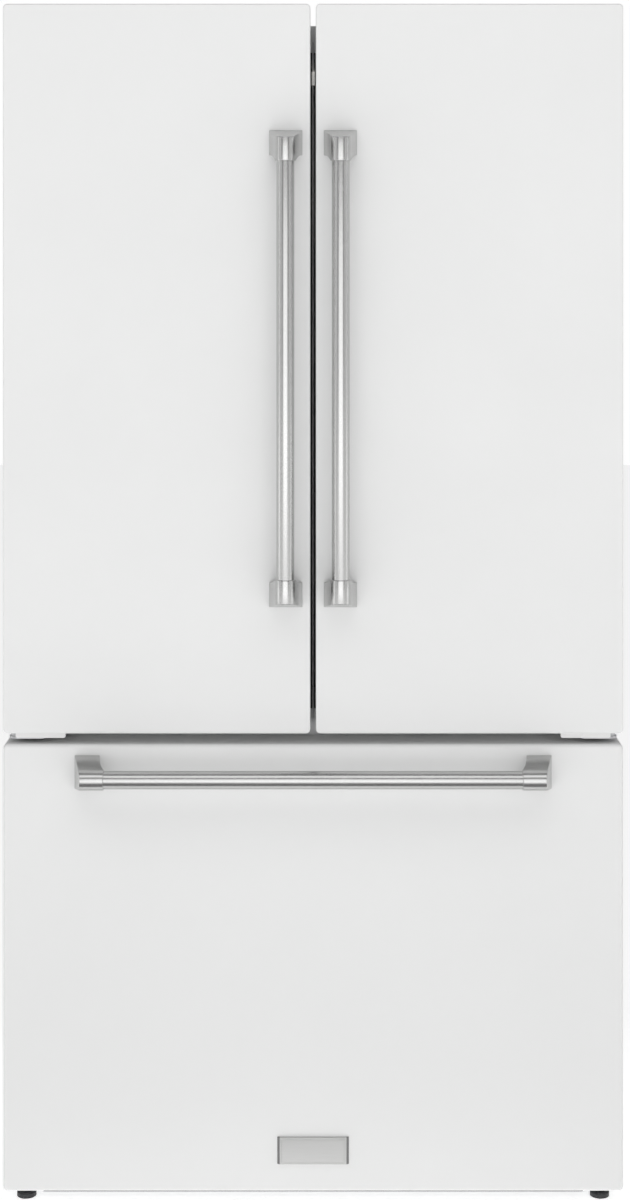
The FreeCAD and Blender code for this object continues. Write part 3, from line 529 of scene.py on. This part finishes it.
plate_low, plate_high = (np.array(corner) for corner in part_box("blank_plate"))
plate_half = float(plate_high[0] - plate_low[0]) / 2
field_half = plate_half - PLATE_BEVEL
plate_steel = Finish("plate_steel", (0.62, 0.62, 0.615), 0.34, 1.0)
sideways = plate_steel.node("SeparateXYZ", 0, Vector=plate_steel.place)
distance = plate_steel.node("Math", 0, {"operation": "ABSOLUTE"}, Value=sideways)
# mask of the two bevels, where the painted shade goes
bevel_shade_mask = plate_steel.ramp(distance, field_half, field_half + MASK_BLUR)
plate_lines = plate_steel.noise(HAIRLINE_SCALE, 3.0, (0.03, 1.0, 1.0), 0.6)
field = plate_steel.blend(plate_lines, FIELD_DULL, FIELD_BRIGHT)
# the bevels take the painted shade grey in place of the brushed field
plate_steel.set(Base_Color=plate_steel.blend(bevel_shade_mask, field, BEVEL_PAINTED_SHADE))
plate_steel.set(Roughness=0.3 + plate_lines * 0.08 + bevel_shade_mask * 0.15)
plate_steel.bump(plate_lines, PLATE_LINE_DEPTH, 0.5)
finishes["plate_steel"] = plate_steel.material


def plate_points():
    """Rings from the door outwards, over the edge and into the groove: each ring is the plate's rectangle,
    moved in along x and z, and forward."""
    depth = plate_high[1] - plate_low[1]
    groove_x = PLATE_BEVEL + GROOVE_IN
    steps = [(0, 0, 0), (0, 0, PLATE_RISE), (PLATE_BEVEL, PLATE_SIDE_LEAN, depth - PLATE_EDGE),
             (PLATE_BEVEL + PLATE_EDGE, PLATE_SIDE_LEAN + PLATE_EDGE, depth), (groove_x, GROOVE_IN, depth)]
    for in_by, deep in ((GROOVE_WALL, GROOVE_DEEP), (GROOVE_WALL + GROOVE_FLOOR, GROOVE_DEEP),
                        (2 * GROOVE_WALL + GROOVE_FLOOR, 0)):
        steps.append((groove_x + in_by, GROOVE_IN + in_by, depth - deep))
    rings = []
    for in_x, in_z, forward in steps:
        x0, x1 = plate_low[0] + in_x, plate_high[0] - in_x
        z0, z1 = plate_low[2] + in_z, plate_high[2] - in_z
        y = plate_high[1] - forward
        rings.append([(x0, y, z0), (x1, y, z0), (x1, y, z1), (x0, y, z1)])
    return np.array(rings)


plate = grid_piece("plate", [plate_points()], "plate_steel", "freezer_drawer")
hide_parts("blank_plate")
print("plate", round(2 * plate_half / MM, 1), "mm wide")

# %% [markdown]
# ## Magnetic gaskets
# A refrigerator's gasket is a hollow strip with a magnet in its head and a soft waist like a bellows, so
# that it can reach out to the cabinet. Its section, carried round the door, is one outline from the foot on
# the door out to the head and back. The two doors also have a soft lip each towards the gap between them,
# and the left one carries the grey centre strip that closes the gap to the eye; its pale grey is a painted
# highlight down the middle of the gap.

# %% Gaskets, lips and centre strip
GASKET_CORNER = 16.0 * MM
BELLOWS = mm((0, 0), (-0.6, 2.4), (-2.4, 3.1), (-1.3, 3.9), (0, 4.6), (-0.2, 7.2), (-1.0, 7.7), (-13, 7.7),
             (-13.8, 7.2), (-14, 4.6), (-12.7, 3.9), (-11.6, 3.1), (-13.4, 2.4), (-14, 0))
LIP_DEEP = 1.5 * MM
STRIP_SIDES = (-1.2 * MM, 1.0 * MM)
SEAL_FROM_MIDDLE = 8.0 * MM


def lip_points(x0, x1, back, z0, z1, deep):
    """A flat strip with a rounded edge, upright behind the doors."""
    thick = deep / 2
    turn = np.linspace(-np.pi / 2, np.pi / 2, 6)
    edge = np.sign(x1 - x0) * thick
    x = np.concatenate([[x0], x1 - edge + edge * np.cos(turn), [x0]])
    y = back + thick + np.concatenate([[-thick], thick * np.sin(turn), [thick]])
    section = np.stack([x, y], axis=1)
    return np.array([np.column_stack([section, np.full(len(section), z)]) for z in (z0, z1)])


def seal(node, body, low, high):
    """The bellows carried round between two corners (x, z), in place of the CAD gasket."""
    ring = swept_ring(low, high, GASKET_CORNER, slab_back, BELLOWS, upright=True)
    gasket = grid_piece(body + "_seal", [ring], "gasket_rubber", body, ring=True)
    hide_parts(node)


slab_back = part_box("drawer_skin")[1][1]
for side, door in ((-1, "left_door"), (1, "right_door")):
    low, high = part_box(door + "_gasket")
    inner = side * SEAL_FROM_MIDDLE
    outer, lip_tip = (low[0], high[0]) if side < 0 else (high[0], low[0])
    seal(door + "_gasket", door, (min(inner, outer), low[2]), (max(inner, outer), high[2]))
    lip = lip_points(inner, lip_tip, slab_back, low[2] + GASKET_CORNER, high[2] - GASKET_CORNER, LIP_DEEP)
    grid_piece(door + "_lip", [lip], "gasket_rubber", door)
seal_low, seal_high = low[2], high[2]

drawer_low, drawer_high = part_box("drawer_gasket")
seal("drawer_gasket", "freezer_drawer", (drawer_low[0], drawer_low[2]), (drawer_high[0], drawer_high[2]))

# the centre strip: its pale grey is a painted highlight down the middle of the gap
strip = lip_points(*STRIP_SIDES, slab_back + 2 * LIP_DEEP, seal_low, seal_high, LIP_DEEP)
grid_piece("center_strip", [strip], "strip_painted_highlight", "left_door")
print("gaskets from", round(seal_low, 3), "to", round(seal_high, 3), "m")

# %% [markdown]
# ## Rims and bands inside
# Moulded bins and drawers are stiffened where they are handled. Every tray gets a rolled rim, and the door
# bins a white band. Each rim is a small section carried round the tray's own rounded rectangle, just above
# and inside its wall, with the size and level read from the CAD node.

# %% Rims and bands
TRAY_CORNER = 8.0 * MM
RIM = mm((-4.2, -3.0), (-2.7, -3.2), (0.2, -5.0), (0.25, 1.2), (-0.5, 2.0), (-3.4, 2.0), (-4.2, 1.2))
BAND = mm((-2.9, -20), (0.2, -20.5), (0.28, -19), (0.28, 1.2), (-0.4, 1.8), (-2.6, 1.8), (-3.3, 1.2),
          (-3.3, -18))
FLANGE = 22.0 * MM
WITHIN_BIN = 120.0 * MM     # no two heights inside one bin are further apart than this
CRISPER_FROM_MIDDLE = 5.0 * MM
CRISPER_RIM_DROP = 2.0 * MM


def corners_of(node):
    """The node's vertices as an array."""
    data = nodes[node].data
    values = np.empty(3 * len(data.vertices))
    data.vertices.foreach_get("co", values)
    return values.reshape(-1, 3)


def levels_of(node, spacing):
    """Upper levels of the stacked solids in a node: each height that the next one leaves far behind."""
    heights = np.unique(np.round(corners_of(node)[:, 2], 4))
    return heights[np.append(np.diff(heights) > spacing, True)]


for side in ("left", "right"):
    low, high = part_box(f"{side}_door_bins")
    tops = levels_of(f"{side}_door_bins", WITHIN_BIN)
    bands = [swept_ring(low[:2], high[:2], TRAY_CORNER, top, BAND) for top in tops]
    grid_piece(f"{side}_bin_bands", bands, "white_trim", f"{side}_door", ring=True)
    print(side, "bin tops", tops)

for node, body, inset in (("upper_tray", "upper_tray", FLANGE), ("lower_basket", "freezer_drawer", FLANGE),
                          ("pantry_drawer", "cabinet", 0.0)):
    low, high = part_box(node)
    rim = swept_ring((low[0] + inset, low[1]), (high[0] - inset, high[1]), TRAY_CORNER, high[2], RIM)
    grid_piece(node + "_rim", [rim], "white_liner", body, ring=True)

crisper_low, crisper_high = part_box("crispers")
crisper_sides = ((crisper_low[0], -CRISPER_FROM_MIDDLE), (CRISPER_FROM_MIDDLE, crisper_high[0]))
crisper_rims = []
for x0, x1 in crisper_sides:
    crisper_rims.append(swept_ring((x0, crisper_low[1]), (x1, crisper_high[1]), TRAY_CORNER,
                                   crisper_high[2] - CRISPER_RIM_DROP, RIM))
grid_piece("crisper_rims", crisper_rims, "white_trim", "cabinet", ring=True)

# %% [markdown]
# ## Grips and shelf trims
# A clear drawer is pulled by a hooked grip along its front, and a glass shelf has a steel trim that stops
# spills and hides the glass's cut edge. Both are one profile carried across. The glass levels are read from
# the shelves themselves, and the lowest pane has no trim.

# %% Grips and shelf trims
GRIP = mm((0, 0), (-6, -1.0), (-8, -3.5), (-8, -13), (-6.8, -14), (-5.6, -13), (-5.6, -6), (-4, -4), (0, -4))
GRIP_DROP = 14.0 * MM
CRISPER_GRIP_IN = 30.0 * MM
PANTRY_GRIP_IN = 60.0 * MM
TRIM = mm((0, 0), (-2.6, 0), (-3.6, -1.4), (-3.6, -12.6), (-2.6, -14), (0, -14))
TRIM_ABOVE_GLASS = 2.0 * MM
SHELF_FROM_MIDDLE = 4.0 * MM
WITHIN_PANE = 30.0 * MM
END_ROUND = 0.8 * MM


def along_front(x0, x1, front, top, profile):
    """A profile carried along the front of a tray or shelf, with rounded ends."""
    return carried_across(x0, x1, profile + np.array([front, top]), END_ROUND)


grips = []
for x0, x1 in crisper_sides:
    grips.append(along_front(x0 + CRISPER_GRIP_IN, x1 - CRISPER_GRIP_IN, crisper_low[1],
                             crisper_high[2] - GRIP_DROP, GRIP))
pantry_low, pantry_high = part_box("pantry_drawer")
grips.append(along_front(crisper_low[0] + PANTRY_GRIP_IN, crisper_high[0] - PANTRY_GRIP_IN, pantry_low[1],
                         pantry_high[2] - GRIP_DROP, GRIP))
grid_piece("drawer_grips", grips, "white_trim", "cabinet")

frames_low, frames_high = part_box("shelf_frames")
panes = levels_of("shelf_glass", WITHIN_PANE)
trims = []
for top in panes[1:]:
    for x0, x1 in ((frames_low[0], -SHELF_FROM_MIDDLE), (SHELF_FROM_MIDDLE, frames_high[0])):
        trims.append(along_front(x0, x1, frames_low[1], top + TRIM_ABOVE_GLASS, TRIM))
grid_piece("shelf_trims", trims, "stainless", "cabinet")
print(len(panes), "glass levels;", len(trims), "shelf trims")

# %% [markdown]
# ## Screws at the back
# The rear panel and the machine cover are held by pan head screws along their edges. A screw is five rings
# of points: base, shoulder, crown, and the rim and floor of its socket.

# %% Rear screws
SCREW_RADIUS = 4.2 * MM
SCREW_HEIGHT = 1.8 * MM
SCREW_EDGE = 12.0 * MM
SCREW_SIDES = 16
SIDE_SCREWS = 6             # along each upright edge of the rear panel
ROW_SCREWS = 7              # along each level edge
SCREW_RINGS = np.array([(1, 0), (0.96, 0.5), (0.7, 0.95), (0.4, 1.0), (0.34, 0.35)])


def screw_points(x, z, back):
    """Rings round the screw's axis: radius and height shares times the screw's own."""
    angle = np.linspace(0, 2 * np.pi, SCREW_SIDES, endpoint=False)
    radius = SCREW_RADIUS * SCREW_RINGS[:, :1]
    height = np.broadcast_to(back + SCREW_HEIGHT * SCREW_RINGS[:, 1:], (len(SCREW_RINGS), SCREW_SIDES))
    return np.stack([x + radius * np.cos(angle), height, z + radius * np.sin(angle)], axis=-1)


panel_low, panel_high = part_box("rear_panel")
cover_low, cover_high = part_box("machine_cover")
back = cover_high[1]
screws = []
for z in np.linspace(cover_high[2] + 3 * SCREW_EDGE, panel_high[2] - SCREW_EDGE, SIDE_SCREWS):
    screws += [screw_points(x, z, back) for x in (panel_low[0] + SCREW_EDGE, panel_high[0] - SCREW_EDGE)]
for x in np.linspace(cover_low[0] + SCREW_EDGE, cover_high[0] - SCREW_EDGE, ROW_SCREWS):
    screws += [screw_points(x, z, back) for z in (cover_low[2] + SCREW_EDGE, cover_high[2] - SCREW_EDGE)]
    screws.append(screw_points(x, panel_high[2] - SCREW_EDGE, back))
grid_piece("rear_screws", screws, "hinge_steel", "cabinet")
print(len(screws), "screws")

# %% [markdown]
# ## The studio
# A white floor runs out to a white world. The floor glows a little, so that it stays as white as the world
# behind it. Round steel shows whatever stands about it, so cards stand where a photographer would put them: a
# pale one on each side of the camera and a dark one on the floor. Only reflections see the cards, so they
# draw bands along the bars and shade nothing else.

# %% Floor
FLOOR_SIZE = 24.0
FLOOR_GLOW = 0.6


def flat_sheet(name, size_x, size_y):
    """A mesh with one face, in its own XY plane."""
    x, y = size_x / 2, size_y / 2
    mesh = bpy.data.meshes.new(name)
    mesh.from_pydata([(-x, -y, 0), (x, -y, 0), (x, y, 0), (-x, y, 0)], [], [(0, 1, 2, 3)])
    return mesh


floor_finish = Finish("floor", (0.9, 0.9, 0.9), 0.6, Emission_Color=(1, 1, 1, 1),
                      Emission_Strength=FLOOR_GLOW)
floor_finish.set(Roughness=0.55 + floor_finish.noise(3.0) * 0.1)
floor_mesh = flat_sheet("floor", FLOOR_SIZE, FLOOR_SIZE)
floor_mesh.materials.append(floor_finish.material)
floor = bpy.data.objects.new("floor", floor_mesh)
bpy.context.collection.objects.link(floor)
print("floor", FLOOR_SIZE, "m across")

# %% [markdown]
# ## World and lights
# The world is white to the camera and a dim grey to everything else, so that it fills the shadows without
# washing the steel out: a switch on camera rays picks the brightness. Four area lights then shape the steel.
# The front one draws the broad bright band down each bar, and the overhead one lights the upper edges. A
# light's power grows with its area, so that its brightness is what is set.

# %% World
SKY = 0.30                # the world's brightness for everything but the camera
bpy.context.scene.view_settings.view_transform = "Standard"
world = bpy.data.worlds.new("studio")
bpy.context.scene.world = world
world.use_nodes = True
sky = world.node_tree.nodes["Background"]
sky.inputs["Color"].default_value = (1, 1, 1, 1)
seen = world.node_tree.nodes.new("ShaderNodeLightPath")
level = world.node_tree.nodes.new("ShaderNodeMapRange")
level.inputs["To Min"].default_value = SKY
level.inputs["To Max"].default_value = 1.0
world.node_tree.links.new(seen.outputs["Is Camera Ray"], level.inputs["Value"])
world.node_tree.links.new(level.outputs["Result"], sky.inputs["Strength"])
print("world brightness", SKY, "and 1.0 to the camera")


# %% Lights and cards
def aimed(thing, place, aim):
    """Turns a thing's -Z towards a point."""
    thing.location = place
    thing.rotation_euler = (Vector(aim) - Vector(place)).to_track_quat("-Z", "Y").to_euler()
    bpy.context.collection.objects.link(thing)


def soft_light(name, place, aim, size, brightness):
    """A rectangular area light: its power is brightness x area x pi."""
    lamp = bpy.data.lights.new(name, "AREA")
    lamp.shape = "RECTANGLE"
    lamp.size, lamp.size_y = size
    lamp.energy = brightness * size[0] * size[1] * math.pi
    aimed(bpy.data.objects.new(name, lamp), place, aim)


def grey_card(name, place, aim, size, brightness):
    """A card that only reflections see."""
    mesh = flat_sheet(name, *size)
    grey = Finish(name, (0, 0, 0), 1.0, Emission_Color=(1, 1, 1, 1), Emission_Strength=brightness)
    mesh.materials.append(grey.material)
    card = bpy.data.objects.new(name, mesh)
    aimed(card, place, aim)
    card.visible_camera = card.visible_diffuse = card.visible_transmission = card.visible_shadow = False


TARGET = (0, door_front, 1.0)
soft_light("front_light", (0.0, -4.5, 1.15), TARGET, (4.2, 2.4), 1.45)
soft_light("top_light", (0.0, -2.1, 3.2), (0, door_front, 0.7), (3.8, 1.4), 1.25)
soft_light("left_light", (-3.6, -0.7, 1.4), TARGET, (1.0, 3.0), 1.05)
soft_light("right_light", (3.6, -0.7, 1.4), TARGET, (1.0, 3.0), 0.95)
for side, name in ((-1, "left_card"), (1, "right_card")):
    grey_card(name, (side * 2.6, -2.0, 1.2), TARGET, (1.3, 3.4), 0.85)
grey_card("floor_card", (0.0, -1.15, 0.02), (0, -1.15, 1.0), (3.0, 1.1), 0.22)
print(len(bpy.data.lights), "lights and 3 cards")
